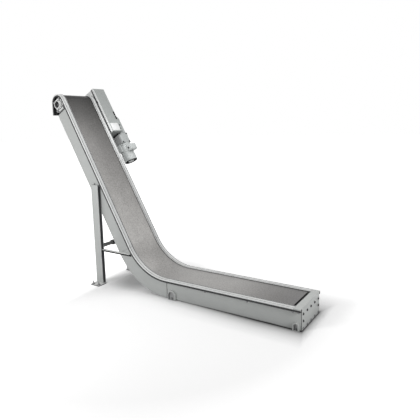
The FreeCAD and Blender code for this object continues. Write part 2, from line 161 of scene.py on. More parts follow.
# The surround is white where it is seen or mirrored, and dimmer as a source of light.
surround = bpy.data.worlds.new("surround")
scene.world = surround
surround.use_nodes = True
tree = surround.node_tree
seen = add_node(tree, "LightPath").outputs
plain = maths(tree, "MAXIMUM", seen["Is Camera Ray"], seen["Is Glossy Ray"])
plain = maths(tree, "MAXIMUM", plain, seen["Is Transmission Ray"])
backdrop = tree.nodes["Background"].inputs
backdrop["Color"].default_value = (1, 1, 1, 1)
tree.links.new(ranged(tree, plain, 0.0, 1.0, 0.32, 1.0), backdrop["Strength"])

for name, place, target, width, watts, spread in (
    ("head_lamp", (-1.7, -3.0, 2.0), (-1.7, 0, 1.2), 1.2, 52, 180),
    ("overhead_lamp", (-0.3, 0.6, 3.7), (-0.4, 0, 0.1), 2.2, 38, 180),
    ("tail_lamp", (4.2, -0.8, 2.2), (0.2, 0, 0.3), 1.2, 66, 180),
    ("drive_lamp", (0.3, -2.3, 3.0), (-1.76, 0.40, 1.48), 0.3, 0.45, 14),
):
    light = bpy.data.lights.new(name, "AREA")
    light.size = width
    light.energy = watts
    light.spread = radians(spread)
    lamp = bpy.data.objects.new(name, light)
    aim = (Vector(target) - Vector(place)).to_track_quat("-Z", "Y")
    lamp.matrix_world = Matrix.Translation(place) @ aim.to_matrix().to_4x4()
    scene.collection.objects.link(lamp)

floor_paint, tree = new_finish("floor_paint")
seen = add_node(tree, "LightPath").outputs
straight = maths(tree, "MAXIMUM", seen["Is Camera Ray"], seen["Is Glossy Ray"])
pale = mixed(tree, straight, (0.50, 0.50, 0.50, 1), (1.12, 1.12, 1.12, 1))
where = object_place(tree)
spot = add_node(tree, "SeparateXYZ", {0: where}).outputs
# Painted shadow on the floor: it darkens with the distance beside or past the end of the load section, and
# under the bend.
beside = maths(tree, "SUBTRACT", maths(tree, "ABSOLUTE", spot["Y"]), frame_side)
past_end = maths(tree, "MULTIPLY_ADD", spot["X"], 3.0, -3.0 * tail_end)
clear_of = ranged(tree, maths(tree, "MAXIMUM", beside, past_end), 0.0, 0.26)
fading = ((0, 1.0), (0.04, 0.80), (0.11, 0.58), (0.185, 0.45), (0.37, 0.30), (0.70, 0.13), (1, 0.0))
painted_floor_shadow = ramped(tree, clear_of, [(reach, (amount, amount, amount, 1)) for reach, amount in fading])
painted_floor_shadow = maths(tree, "MULTIPLY", painted_floor_shadow, ranged(tree, spot["X"], -1.1, 0.3))
under_bend = {"Vector": where, "Location": (4.06, -0.25, 0), "Scale": (3.125, 2.5, 0)}
under_bend = add_node(tree, "Mapping", under_bend).outputs[0]
under_bend = add_node(tree, "VectorMath", {0: under_bend}, operation="LENGTH").outputs["Value"]
painted_floor_shadow = maths(tree, "MAXIMUM", painted_floor_shadow, ranged(tree, under_bend, 0.44, 1.0, 0.42, 0.0))
matt = add_node(tree, "BsdfDiffuse", {"Color": mixed(tree, painted_floor_shadow, pale, (0.05, 0.05, 0.05, 1))})
# The glow that takes the floor up to white, away from the conveyor, beyond its far side and its head.
away = add_node(tree, "VectorMath", {0: where, 1: (-0.8, -0.2, 0)}, operation="DISTANCE").outputs["Value"]
lift = maths(tree, "MAXIMUM", ranged(tree, away, 1.6, 3.8), ranged(tree, spot["Y"], 0.45, 1.6))
lift = maths(tree, "MAXIMUM", lift, ranged(tree, spot["X"], -1.50, -1.85))
glow = {"Color": (1, 1, 1, 1), "Strength": maths(tree, "MULTIPLY", straight, lift)}
glow = add_node(tree, "Emission", glow)
both = add_node(tree, "AddShader", {0: matt.outputs[0], 1: glow.outputs[0]})
tree.links.new(both.outputs[0], tree.nodes["Material Output"].inputs["Surface"])

mesh = bmesh.new()
bmesh.ops.create_grid(mesh, x_segments=1, y_segments=1, size=40)
shape = bpy.data.meshes.new("studio_floor")
mesh.to_mesh(shape)
mesh.free()
shape.materials.append(floor_paint)
studio_floor = bpy.data.objects.new("studio_floor", shape)
scene.collection.objects.link(studio_floor)
studio_floor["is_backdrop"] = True


# Side frames. Folded sheet-steel channels, powder coated pale grey, in three lengths a side
# (load section, bend and incline) that butt at fine seams.

def shared_group(name, inputs, outputs):
    """An empty shader node group with its sockets, and its input and output nodes."""
    group = bpy.data.node_groups.new(name, "ShaderNodeTree")
    for way, sockets in (("INPUT", inputs), ("OUTPUT", outputs)):
        for label, kind, *value in sockets:
            socket = group.interface.new_socket(label, in_out=way, socket_type="NodeSocket" + kind)
            if value:
                socket.default_value = value[0]
    return group, group.nodes.new("NodeGroupInput").outputs, group.nodes.new("NodeGroupOutput").inputs


def use_group(tree, group, **inputs):
    """The group placed in a material."""
    return fed(tree, add_node(tree, "Group", node_tree=group), inputs).outputs


def noise(tree, where, scale, detail, **more):
    """The value of a noise pattern."""
    return add_node(tree, "TexNoise", {"Vector": where, "Scale": scale, "Detail": detail, **more}).outputs[0]


def scaled(tree, colour, amount):
    """A colour made lighter or darker."""
    return add_node(tree, "VectorMath", {0: colour, "Scale": amount}, operation="SCALE").outputs[0]


# Edge wear: the coat is thin where the surface turns sharply, broken up by a fine pattern.
edge_wear, given, result = shared_group(
    "edge_wear", [("Reach", "Float", 0.003), ("Amount", "Float", 0.5)], [("Mask", "Float")]
)
tree = edge_wear
rounding = add_node(tree, "Bevel", {"Radius": given["Reach"]}, samples=4).outputs[0]
facing = add_node(tree, "NewGeometry").outputs["Normal"]
turn = add_node(tree, "VectorMath", {0: rounding, 1: facing}, operation="DOT_PRODUCT").outputs["Value"]
chips = ranged(tree, noise(tree, object_place(tree), 90.0, 4.0), 0.42, 0.58)
mask = maths(tree, "MULTIPLY", ranged(tree, turn, 0.995, 0.88), chips)
tree.links.new(maths(tree, "MULTIPLY", mask, given["Amount"]), result["Mask"])

# Powder coat: orange peel, a faint cloudiness, dust on what faces up, a painted contact shade by the floor
# and handling marks.
powder_coat, given, result = shared_group(
    "powder_coat",
    [
        ("Colour", "Color"), ("Dust Colour", "Color", (0.50, 0.49, 0.47, 1)), ("Dust", "Float", 0.25),
        ("Cloud", "Float", 0.05), ("Grime", "Float", 0.0),
    ],
    [("Colour", "Color"), ("Roughness", "Float"), ("Height", "Float")],
)
tree = powder_coat
where = object_place(tree)
cloud = noise(tree, where, 3.0, 5.0, Roughness=0.6)
shade = maths(tree, "MULTIPLY_ADD", ranged(tree, cloud, 0.3, 0.7, -1.0, 1.0), given["Cloud"], 1.0)
facing = add_node(tree, "NewGeometry").outputs["Normal"]
upward = add_node(tree, "SeparateXYZ", {0: facing}).outputs["Z"]
specks = ranged(tree, noise(tree, where, 14.0, 8.0, Roughness=0.75), 0.38, 0.66)
settled = maths(tree, "MULTIPLY", ranged(tree, upward, 0.55, 1.0), specks)
settled = maths(tree, "MULTIPLY", settled, given["Dust"])
dusty = mixed(tree, settled, scaled(tree, given["Colour"], shade), given["Dust Colour"])
# Painted shade: a ragged near-black band along the lowest few millimetres, standing in for the contact shadow
# where the piece meets the floor.
height = add_node(tree, "SeparateXYZ", {0: where}).outputs["Z"]
low_down = maths(tree, "SUBTRACT", maths(tree, "MULTIPLY_ADD", cloud, 0.012, 0.002), height)
low_down = maths(tree, "MULTIPLY", ranged(tree, low_down, -0.004, 0.004), given["Grime"])
tree.links.new(mixed(tree, low_down, dusty, (0.02, 0.02, 0.02, 1)), result["Colour"])
gloss = ranged(tree, noise(tree, where, 8.0, 6.0), 0.3, 0.7, 0.38, 0.56)
tree.links.new(maths(tree, "MULTIPLY_ADD", settled, 0.5, gloss), result["Roughness"])
tree.links.new(noise(tree, where, 420.0, 2.0), result["Height"])


def surfaced(tree, colour, looks, strength, distance, metallic=0.0):
    """Joins the colour, the roughness and a fine relief to the material's shader."""
    relief = {"Height": looks["Height"], "Strength": strength, "Distance": distance}
    relief = add_node(tree, "Bump", relief).outputs[0]
    inputs = {"Base Color": colour, "Roughness": looks["Roughness"], "Normal": relief, "Metallic": metallic}
    fed(tree, tree.nodes["Principled BSDF"], inputs)


def painted(name, colour, worn=0.30, wear=0.35, reach=0.0025, dust=0.25, cloud=0.05, contact_shade=0.0):
    """A powder-coated or sprayed steel surface, a plain grey where it is worn."""
    finish, tree = new_finish(name)
    coat = use_group(tree, powder_coat, Colour=(*colour, 1), Dust=dust, Cloud=cloud, Grime=contact_shade)
    bare = use_group(tree, edge_wear, Reach=reach, Amount=wear)["Mask"]
    surfaced(tree, mixed(tree, bare, coat["Colour"], (worn, worn, worn, 1)), coat, 0.12, 0.0004)
    return finish


frame_paint = painted("frame_paint", (0.50, 0.515, 0.505))
# The side frames and the end plate carry the painted contact shade along their bottom edge.
side_paint = painted("side_paint", (0.50, 0.515, 0.505), contact_shade=0.9)


def folded(corners, side=1, drop=0):
    """One face across the body, at x = 0, its corners (y, z, bend radius) rounded, for one side."""
    mesh = bmesh.new()
    points = [mesh.verts.new((0, y * side, z - drop)) for y, z, radius in corners]
    mesh.faces.new(points)
    for radius in sorted({radius for y, z, radius in corners if radius}):
        bends = [point for point, corner in zip(points, corners) if corner[2] == radius]
        bmesh.ops.bevel(
            mesh, geom=bends, offset=radius, offset_type="OFFSET", segments=4, profile=0.5,
            affect="VERTICES", material=-1,
        )
    return mesh


def moved(mesh, step):
    """The mesh moved by a step."""
    bmesh.ops.translate(mesh, vec=step, verts=mesh.verts)
    return mesh


def grown(mesh, faces, step):
    """Draws the faces out by a step."""
    made = bmesh.ops.extrude_face_region(mesh, geom=faces)["geom"]
    points = [item for item in made if isinstance(item, bmesh.types.BMVert)]
    bmesh.ops.translate(mesh, vec=step, verts=points)


def drawn(mesh, start, end):
    """Draws a section out straight along x."""
    moved(mesh, (start, 0, 0))
    grown(mesh, mesh.faces[:], (end - start, 0, 0))
    return mesh


def rolled(mesh, start, centre, angle, steps):
    """Rolls a section that stands at x = start about a line along y, and gives the faces that it ends on."""
    moved(mesh, (start, 0, 0))
    last = bmesh.ops.spin(
        mesh, geom=mesh.verts[:] + mesh.edges[:] + mesh.faces[:], cent=centre, axis=(0, 1, 0),
        dvec=(0, 0, 0), angle=angle, steps=steps, use_duplicate=False, use_merge=False,
        use_normal_flip=False,
    )["geom_last"]
    return [item for item in last if isinstance(item, bmesh.types.BMFace)]


def bent(corners, side=1, steps=36):
    """A section rolled through the bend."""
    mesh = folded(corners, side)
    rolled(mesh, bend_seam, (bend_seam, 0, bend_radius), incline_angle, steps)
    return mesh


sharp_turn = 0.7


def eased(mesh, width, segments=2):
    """Rounds the edges that turn sharply, by more than 0.7 radians."""
    bmesh.ops.recalc_face_normals(mesh, faces=mesh.faces)
    sharp = [
        edge for edge in mesh.edges
        if len(edge.link_faces) == 2 and abs(edge.calc_face_angle(0)) > sharp_turn
    ]
    bmesh.ops.bevel(
        mesh, geom=sharp, offset=width, offset_type="OFFSET", segments=segments, profile=0.5,
        affect="EDGES", clamp_overlap=True, material=-1,
    )
    return mesh


def placed(mesh, place):
    """The mesh put in its place."""
    bmesh.ops.transform(mesh, matrix=place, verts=mesh.verts)
    return mesh


def finished(mesh, name, finishes, nodes=(), place=None, body="conveyor"):
    """Makes the mesh a named piece in its place, with its finish, riding on its body."""
    if place is not None:
        placed(mesh, place)
    bmesh.ops.remove_doubles(mesh, verts=mesh.verts, dist=0.000001)
    bmesh.ops.recalc_face_normals(mesh, faces=mesh.faces)
    shape = bpy.data.meshes.new(name)
    mesh.to_mesh(shape)
    mesh.free()
    for finish in finishes if isinstance(finishes, (list, tuple)) else [finishes]:
        shape.materials.append(finish)
    shape.shade_smooth()
    shape.set_sharp_from_angle(angle=radians(32))
    piece = bpy.data.objects.new(name, shape)
    scene.collection.objects.link(piece)
    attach(piece, body)
    if nodes:
        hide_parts(*nodes)


def refinish(mesh, number, chosen):
    """Gives the faces whose every corner passes the test, as on the far side, the finish with that number."""
    for face in mesh.faces:
        if all(chosen(Vector((vert.co.x, abs(vert.co.y), vert.co.z))) for vert in face.verts):
            face.material_index = number


incline = Matrix.Translation(
    (bend_seam - bend_radius * sin(incline_angle), 0, bend_radius * (1 - cos(incline_angle)))
) @ Matrix.Rotation(incline_angle, 4, "Y")
channel = (
    (0.200, 0, 0.007), (0.160, 0, 0), (0.160, 0.004, 0), (0.195, 0.004, 0.003), (0.195, 0.170, 0.003),
    (0.160, 0.170, 0), (0.160, 0.174, 0), (0.200, 0.174, 0.007),
)
for label, side in sides:
    node = "side_frame_" + label
    mesh = eased(drawn(folded(channel, side), bend_seam + seam, frame_end), 0.0006)
    finished(mesh, label + "_side_load", side_paint, [node + "_load"])
    mesh = bent(channel, side, 30)
    finished(mesh, label + "_side_bend", frame_paint, [node + "_bend"])
    mesh = eased(drawn(folded(channel, side), frame_reach, -2 * seam), 0.0006)
    finished(mesh, label + "_side_incline", frame_paint, [node + "_incline"], incline)


# Side rims. Inverted channels of 4 mm sheet with a shallow tray along the top, standing on the side
# frames; they overhang them by 23 mm, run on round the head and end in a lip.

rim_paint = painted("rim_paint", (0.74, 0.75, 0.745), worn=0.76, wear=0.85, reach=0.006, dust=0.35)
rim_tray = painted(
    "rim_tray", (0.66, 0.67, 0.665), worn=0.60, wear=0.4, reach=0.004, dust=0.35, cloud=0.10
)
# A near-black primer; on the rims' insides and walls by the bed and on the head plates it serves as painted
# shade.
primer_and_painted_shade = painted("primer_and_painted_shade", (0.075, 0.076, 0.078), worn=0.14, wear=0.3, dust=0.1, cloud=0.15)
rim_finishes = [rim_paint, rim_tray, primer_and_painted_shade]
head = incline @ Matrix.Translation((head_reach, 0, head_height))
lip_drop = head.to_3x3().inverted() @ Vector((0, 0, -0.131))
rim_section = (
    (rim_side, 0.174, 0), (0.219, 0.174, 0), (0.219, 0.191, 0.002), (0.174, 0.191, 0.002), (0.174, 0.174, 0),
    (0.170, 0.174, 0), (0.170, 0.195, 0.004), (0.180, 0.195, 0.002), (0.182, 0.1935, 0.002),
    (0.210, 0.1935, 0.002), (0.212, 0.195, 0.002), (rim_side, 0.195, 0.005),
)


def rim_coats(mesh):
    """Paints the rim's inside and its wall by the bed near black as painted shade, and dulls its tray; the
    folds tell them apart.
    """
    refinish(mesh, 2, lambda corner: 0.1739 < corner.y < 0.2191 or corner.y < 0.1703)
    refinish(mesh, 1, lambda corner: 0.1815 < corner.y < 0.2125)
    return mesh


def rolled_head(corners, side=1):
    """A section rolled round the head through 150 degrees and drawn down as the lip."""
    mesh = folded(corners, side, head_height)
    grown(mesh, rolled(mesh, 0, (0, 0, 0), radians(-150), 50), lip_drop)
    return mesh


for label, side in sides:
    node = "side_rim_" + label
    mesh = rim_coats(drawn(folded(rim_section, side), bend_seam + seam, cap_edge - seam))
    finished(mesh, label + "_rim_load", rim_finishes, [node + "_load"])
    mesh = rim_coats(bent(rim_section, side))
    finished(mesh, label + "_rim_bend", rim_finishes, [node + "_bend"])
    mesh = rim_coats(drawn(folded(rim_section, side), head_reach + seam, -2 * seam))
    finished(mesh, label + "_rim_incline", rim_finishes, [node + "_incline"], incline)
    mesh = rim_coats(rolled_head(rim_section, side))
    finished(mesh, label + "_rim_head", rim_finishes, [node + "_head"], head)


# Rim seals. Black edging on the rims' lower edge, from the tail round the head, a dark strip put in the
# shadow under the rims' overhang as painted shade, and a bead of dark sealant down each joint of the load
# section with the bend.

# Near-black rubber, for the sealant beads and as painted shade on the dark strips put where shadow falls.
rubber_and_painted_shade = painted("rubber_and_painted_shade", (0.010, 0.010, 0.011), worn=0.03, wear=0.3, dust=0.04, cloud=0.2)


def joined(*meshes):
    """Several meshes in one."""
    whole = bmesh.new()
    for mesh in meshes:
        shape = bpy.data.meshes.new("stock")
        mesh.to_mesh(shape)
        mesh.free()
        whole.from_mesh(shape)
        bpy.data.meshes.remove(shape)
    return whole


def seal_section(inner):
    """The edging's section: a sole from the inner edge out, and a lip up the outside of the rim."""
    return [
        (inner, 0.1670, 0), (0.2237, 0.1670, 0), (0.2237, 0.1822, 0), (0.2231, 0.1827, 0),
        (0.2231, 0.1739, 0), (inner, 0.1739, 0),
    ]


by_frame = seal_section(0.2002)
past_frame = seal_section(0.2189)
bead = ((0.1998, 0.004, 0), (0.2010, 0.005, 0.0005), (0.2010, 0.1655, 0.0005), (0.1998, 0.1665, 0))
for label, side in sides:
    level_run = drawn(folded(by_frame, side), bend_seam, 0.7025)
    rising_run = joined(
        drawn(folded(by_frame, side), frame_reach, 0),
        drawn(folded(past_frame, side), head_reach, frame_reach),
    )
    head_run = placed(rolled_head(past_frame, side), head)
    mesh = joined(level_run, bent(by_frame, side), placed(rising_run, incline), head_run)
    finished(mesh, label + "_rim_shade_strip", rubber_and_painted_shade)
    mesh = drawn(folded(bead, side), bend_seam - 0.0025, bend_seam + 0.0025)
    finished(mesh, label + "_joint_bead", rubber_and_painted_shade)


# Slide bed. Brushed stainless sheet over the magnets, folded down at both sides between the rims. Its colour
# changes along the run, lighter low down and darker towards the head and at the tail, as painted reflection
# and shade, and it is darker along each rim, as painted shade.

brushed, given, result = shared_group(
    "brushed",
    [("Colour", "Color"), ("Lines", "Vector"), ("Depth", "Float", 0.1), ("Speckle", "Float", 0.0)],
    [("Colour", "Color"), ("Roughness", "Float"), ("Height", "Float")],
)
tree = brushed
where = object_place(tree)
fine = noise(tree, given["Lines"], 1.0, 6.0, Roughness=0.7)
stain = ranged(tree, noise(tree, where, 5.0, 6.0, Roughness=0.65, Distortion=0.4), 0.3, 0.7, 0.93, 1.06)
shade = maths(tree, "MULTIPLY_ADD", ranged(tree, fine, 0.3, 0.7, -1.0, 1.0), given["Depth"], stain)
speckle = ranged(tree, noise(tree, where, 75.0, 3.0, Roughness=0.6), 0.3, 0.7, -1.0, 1.0)
shade = maths(tree, "MULTIPLY_ADD", speckle, given["Speckle"], shade)
tree.links.new(scaled(tree, given["Colour"], shade), result["Colour"])
tree.links.new(ranged(tree, fine, 0.3, 0.7, 0.34, 0.50), result["Roughness"])
tree.links.new(fine, result["Height"])


def bed_finish(name, stretch, depth, speckle):
    """Brushed steel with painted reflection and shade that change along the run, its lines as fine as stretch
    says on each axis.
    """
    finish, tree = new_finish(name)
    where = object_place(tree)
    travel = add_node(tree, "VectorMath", {0: where, 1: (-0.5, 0, 0.8660254)}, operation="DOT_PRODUCT")
    tones = (
        (0.05, 0.170), (0.075, 0.220), (0.125, 0.325), (0.20, 0.325), (0.25, 0.286), (0.33, 0.286),
        (0.38, 0.405), (0.43, 0.388), (0.53, 0.320), (0.62, 0.235), (0.72, 0.166), (0.77, 0.132),
        (0.815, 0.098), (0.865, 0.060), (0.91, 0.037),
    )
    # Painted reflection and shade: the colour follows a ramp along the run, brightest about the foot of the
    # incline and darkest at the head.
    reflection_and_shade = ramped(tree, ranged(tree, travel.outputs["Value"], -0.2, 3.0), [
        (0, (0.150, 0.147, 0.148, 1)),
        *((spot, (tone, 0.977 * tone, 0.950 * tone, 1)) for spot, tone in tones),
        (1, (0.016, 0.015, 0.019, 1)),
    ])
    # Painted shade: the colour darkens over the last few millimetres of the bed beside each rim.
    across = maths(tree, "ABSOLUTE", add_node(tree, "SeparateXYZ", {0: where}).outputs["Y"])
    reflection_and_shade = scaled(tree, reflection_and_shade, ranged(tree, across, 0.158, 0.164, 1.0, 0.84))
    lines = add_node(tree, "Mapping", {"Vector": where, "Scale": stretch}).outputs[0]
    steel = use_group(tree, brushed, Colour=reflection_and_shade, Lines=lines, Depth=depth, Speckle=speckle)
    surfaced(tree, steel["Colour"], steel, 0.15, 0.0003, metallic=0.75)
    return finish


bed_along = bed_finish("bed_steel", (6, 150, 6), 0.10, 0.22)
bed_across = bed_finish("bed_steel_head", (70, 3, 70), 0.40, 0.10)
bed_section = (
    (-0.1697, 0.174, 0), (-0.1667, 0.174, 0), (-0.1667, 0.184, 0.001), (0.1667, 0.184, 0.001),
    (0.1667, 0.174, 0), (0.1697, 0.174, 0), (0.1697, 0.187, 0.003), (-0.1697, 0.187, 0.003),
)
mesh = drawn(folded(bed_section), bend_seam + 0.0001, bed_end)
finished(mesh, "bed_load", bed_along, ["slide_bed_load"])
finished(bent(bed_section), "bed_bend", bed_along, ["slide_bed_bend"])
mesh = drawn(folded(bed_section), head_reach + 0.0001, -0.0001)
finished(mesh, "bed_incline", bed_along, ["slide_bed_incline"], incline)
finished(rolled_head(bed_section), "bed_head", bed_across, ["slide_bed_head"], head)


# Bottom pan. Plain coated sheet in three lengths, let in between the bottom flanges of the side frames.
# It shows from behind and below.

for label in ("load", "bend", "incline"):
    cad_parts["bottom_pan_" + label].material_slots[0].material = frame_paint


# Tail end. A 6 mm plate with dark side edges, bolted on to the frame's end, and over it a folded cap with
# a narrow slot left between it and the end of the bed.

def block(low, high):
    """A solid block between two corners."""
    mesh = bmesh.new()
    middle = (Vector(low) + Vector(high)) / 2
    sizes = Vector(high) - Vector(low)
    bmesh.ops.create_cube(mesh, size=1, matrix=Matrix.Translation(middle) @ Matrix.Diagonal((*sizes, 1)))
    return mesh


def along(mesh, direction):
    """The edges that run along a direction."""
    direction = Vector(direction)
    return [
        edge for edge in mesh.edges
        if abs((edge.verts[1].co - edge.verts[0].co).normalized().dot(direction)) > 0.999
    ]


def rounded(mesh, edges, radius, segments):
    """The mesh with the edges given rounded."""
    bmesh.ops.bevel(
        mesh, geom=edges, offset=radius, offset_type="OFFSET", segments=segments, profile=0.5,
        affect="EDGES", material=-1,
    )
    return mesh


def sheet_box(low, high, open_sides, radius, thick):
    """A folded sheet box between two corners, open towards the given directions, with rounded folds."""
    mesh = block(low, high)
    mesh.normal_update()
    missing = [face for face in mesh.faces if any(face.normal.dot(Vector(way)) > 0.9 for way in open_sides)]
    bmesh.ops.delete(mesh, geom=missing, context="FACES")
    rounded(mesh, [edge for edge in mesh.edges if len(edge.link_faces) == 2], radius, 4)
    bmesh.ops.recalc_face_normals(mesh, faces=mesh.faces)
    bmesh.ops.solidify(mesh, geom=mesh.faces[:], thickness=thick)
    return mesh


mesh = eased(block((frame_end, -frame_side, 0), (tail_end, frame_side, 0.191)), 0.0012)
mesh.normal_update()
for face in mesh.faces:
    face.material_index = int(abs(face.normal.y) > 0.5)
finished(mesh, "end_plate", [side_paint, primer_and_painted_shade], ["tail_end_plate"])
low, high = (cap_edge, -rim_side, 0.174), (tail_end, rim_side, 0.195)
mesh = sheet_box(low, high, ((0, 0, -1), (1, 0, 0)), 0.005, 0.004)
finished(mesh, "end_cap", frame_paint, ["tail_cap"])
# A black block under the slot between cap and bed, painted shade that makes the slot read dark.
mesh = eased(block((0.585, -0.1665, 0.160), (0.650, 0.1665, 0.1735)), 0.001)
finished(mesh, "slot_shade", rubber_and_painted_shade)


# Head plates. Two steel plates inside the side frames, round-ended about the shaft, near black as painted
# shade for the recess round the bearing. The near one carries a bearing.

for label, side in sides:
    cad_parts["head_plate_" + label].material_slots[0].material = primer_and_painted_shade


# Head shaft. Turned steel with chamfered ends, a centre hole, end faces painted black as painted shade, and
# a keyway, free to turn in its bearings.

def turned(profile, steps=48):
    """Turns a profile of (radius, height) points about z, its ends on the axis or joined up."""
    mesh = bmesh.new()
    points = [mesh.verts.new((radius, 0, height)) for radius, height in profile]
    for first, second in zip(points, points[1:]):
        mesh.edges.new((first, second))
    bmesh.ops.spin(
        mesh, geom=mesh.verts[:] + mesh.edges[:], cent=(0, 0, 0), axis=(0, 0, 1), dvec=(0, 0, 0),
        angle=2 * pi, steps=steps, use_duplicate=False, use_merge=True, use_normal_flip=False,
    )
    bmesh.ops.remove_doubles(mesh, verts=mesh.verts, dist=0.0000001)
    return mesh


def carved(mesh, *tools):
    """Cuts the tools' shapes out of a closed mesh."""
    stock = []
    for item in (mesh, *tools):
        bmesh.ops.recalc_face_normals(item, faces=item.faces)
        shape = bpy.data.meshes.new("stock")
        item.to_mesh(shape)
        item.free()
        stock.append(bpy.data.objects.new("stock", shape))
        scene.collection.objects.link(stock[-1])
    for tool in stock[1:]:
        cut = stock[0].modifiers.new("cut", "BOOLEAN")
        cut.operation = "DIFFERENCE"
        cut.solver = "EXACT"
        cut.object = tool
    made = stock[0].evaluated_get(bpy.context.evaluated_depsgraph_get()).to_mesh()
    result = bmesh.new()
    result.from_mesh(made)
    for item in stock:
        bpy.data.meshes.remove(item.data)
    return result


def spotted(name, scale, stops, inputs, gloss=None):
    """A material in tones broken up by a fine pattern, as its roughness is where gloss gives its range."""
    finish, tree = new_finish(name)
    spots = noise(tree, object_place(tree), scale, 4.0)
    inputs = {"Base Color": ramped(tree, spots, stops), **inputs}
    if gloss:
        inputs["Roughness"] = ranged(tree, spots, 0.3, 0.7, *gloss)
    fed(tree, tree.nodes["Principled BSDF"], inputs)
    return finish


# Painted shade: a near-black matt finish for the dark of openings, grooves, gaps, shadowed undersides and the
# shaft's ends.
tones = [(0, (0.008, 0.008, 0.009, 1)), (1, (0.022, 0.021, 0.021, 1))]
painted_shade_black = spotted("painted_shade_black", 60.0, tones, {"Roughness": 0.8, "Specular IOR Level": 0.1})

shaft_steel, tree = new_finish("shaft_steel")
lines = add_node(tree, "Mapping", {"Vector": object_place(tree), "Scale": (20, 900, 20)}).outputs[0]
steel = use_group(tree, brushed, Colour=(0.12, 0.12, 0.125, 1), Lines=lines, Depth=0.2)
surfaced(tree, steel["Colour"], steel, 0.1, 0.0002, metallic=1.0)

shaft = head @ Matrix.Translation((0.018, 0, 0))
outward = {"near": Matrix.Rotation(radians(90), 4, "X"), "far": Matrix.Rotation(radians(-90), 4, "X")}
mesh = turned(
    [
        (0, 0.238), (0.004, 0.242), (0.004, 0.2445), (0.0175, 0.245), (0.020, 0.2425),
        (0.020, -0.2795), (0.0175, -0.282), (0.004, -0.2815), (0.004, -0.279), (0, -0.275),
    ]
)
mesh = carved(mesh, block((-0.003, 0.016, 0.223), (0.003, 0.022, 0.250)))
for face in mesh.faces:
    middle = face.calc_center_median()
    if abs(middle.z) > 0.240 and middle.xy.length < 0.0174:
        face.material_index = 1
place = shaft @ outward["near"]
finished(mesh, "turning_shaft", [shaft_steel, painted_shade_black], ["head_shaft"], place, "head_shaft")


# Head bearings. Square four-bolt cast housings in pale paint, each with a turned hub, grooves painted black
# as painted shade, and a grease nipple, bolted to the near head plate and, at the far side, on the drive
# plate.

cast_paint = painted("cast_paint", (0.80, 0.81, 0.80), worn=0.25, wear=0.5, dust=0.2, cloud=0.09)
tones = [(0.3, (0.20, 0.20, 0.21, 1)), (0.7, (0.34, 0.34, 0.34, 1))]
zinc = spotted("zinc", 160.0, tones, {"Metallic": 0.9}, gloss=(0.30, 0.50))
standing = Matrix.Identity(4)


def rod(radius, low, high, steps=20):
    """A plain cylinder about z."""
    return turned([(0, low), (radius, low), (radius, high), (0, high)], steps)


def hex_bolt(seat, across, height, washer, stud=0.0):
    """A hexagon head on its washer, standing along the seat's z, with a stud through it where it is a nut."""
    mesh = rod(across * 0.93, 0, washer) if washer else bmesh.new()
    corner = across / 2 / cos(pi / 6)
    top = bmesh.ops.create_cone(
        mesh, cap_ends=True, segments=6, radius1=corner, radius2=corner, depth=height,
        matrix=Matrix.Translation((0, 0, washer + height / 2)),
    )["verts"]
    crown = [face for vert in top for face in vert.link_faces if face.normal.z > 0.9 and len(face.verts) == 6]
    bmesh.ops.inset_region(mesh, faces=list(set(crown)), thickness=corner * 0.12, depth=corner * 0.10)
    if stud:
        bmesh.ops.create_cone(
            mesh, cap_ends=True, segments=14, radius1=across * 0.30, radius2=across * 0.28, depth=stud,
            matrix=Matrix.Translation((0, 0, washer + height + stud / 2 - 0.001)),
        )
    return placed(mesh, seat)


def bolt_set(spots, turn, *sizes):
    """The same bolt on several spots."""
    return [hex_bolt(Matrix.Translation(spot) @ turn, *sizes) for spot in spots]


corners = [(x, y) for x in (-0.051, 0.051) for y in (-0.051, 0.051)]
boss = [(0, 0.010), (0.0135, 0.010), (0.0135, 0.0192), (0.0127, 0.020), (0, 0.020)]
grease_nipple = [(0, 0.030), (0.004, 0.030), (0.004, 0.034), (0.002, 0.036), (0.003, 0.039), (0, 0.0415)]
for label, seat in (("near", 0.195), ("far", 0.232)):
    place = shaft @ outward[label] @ Matrix.Translation((0, 0, seat))
    flange = block((-0.065, -0.065, 0), (0.065, 0.065, 0.018))
    flange = eased(rounded(flange, along(flange, (0, 0, 1)), 0.016, 5), 0.0025, 3)
    hub = turned(
        [
            (0.0202, 0), (0.054, 0), (0.054, 0.018), (0.048, 0.0215), (0.0445, 0.026), (0.044, 0.043),
            (0.0425, 0.0445), (0.036, 0.0445), (0.0345, 0.0375), (0.029, 0.0375), (0.0285, 0.046),
            (0.0202, 0.046), (0.0202, 0),
        ], 64
    )
    mesh = joined(flange, *(moved(turned(boss, 24), (x, y, 0)) for x, y in corners), hub)
    # The grooves round the hub take the black finish: painted shade.
    for face in mesh.faces:
        middle = face.calc_center_median()
        reach = middle.xy.length
        if 0.0374 < middle.z < 0.0461 and reach < 0.0345 or middle.z > 0.0181 and 0.047 < reach < 0.0545:
            face.material_index = 1
    finishes = [cast_paint, painted_shade_black]
    finished(mesh, label + "_bearing", finishes, ["bearing_housing_" + label], place)
    bolts = bolt_set([(x, y, 0.020) for x, y in corners], standing, 0.019, 0.008, 0.002, 0.004)
    nipple = turned(grease_nipple, 12)
    lean = Matrix.Rotation(radians(60), 3, "Y")
    bmesh.ops.rotate(nipple, cent=(0, 0, 0.030), matrix=lean, verts=nipple.verts)
    mesh = joined(*bolts, moved(nipple, (0.041, 0, 0.003)))
    finished(mesh, label + "_bearing_bolts", zinc, (), place)


# Frame bolts. Zinc-plated hexagon bolts in a row under the rims, one over each leg, and more round the
# edge of the tail's end plate, which are blackened but for the lowest row.

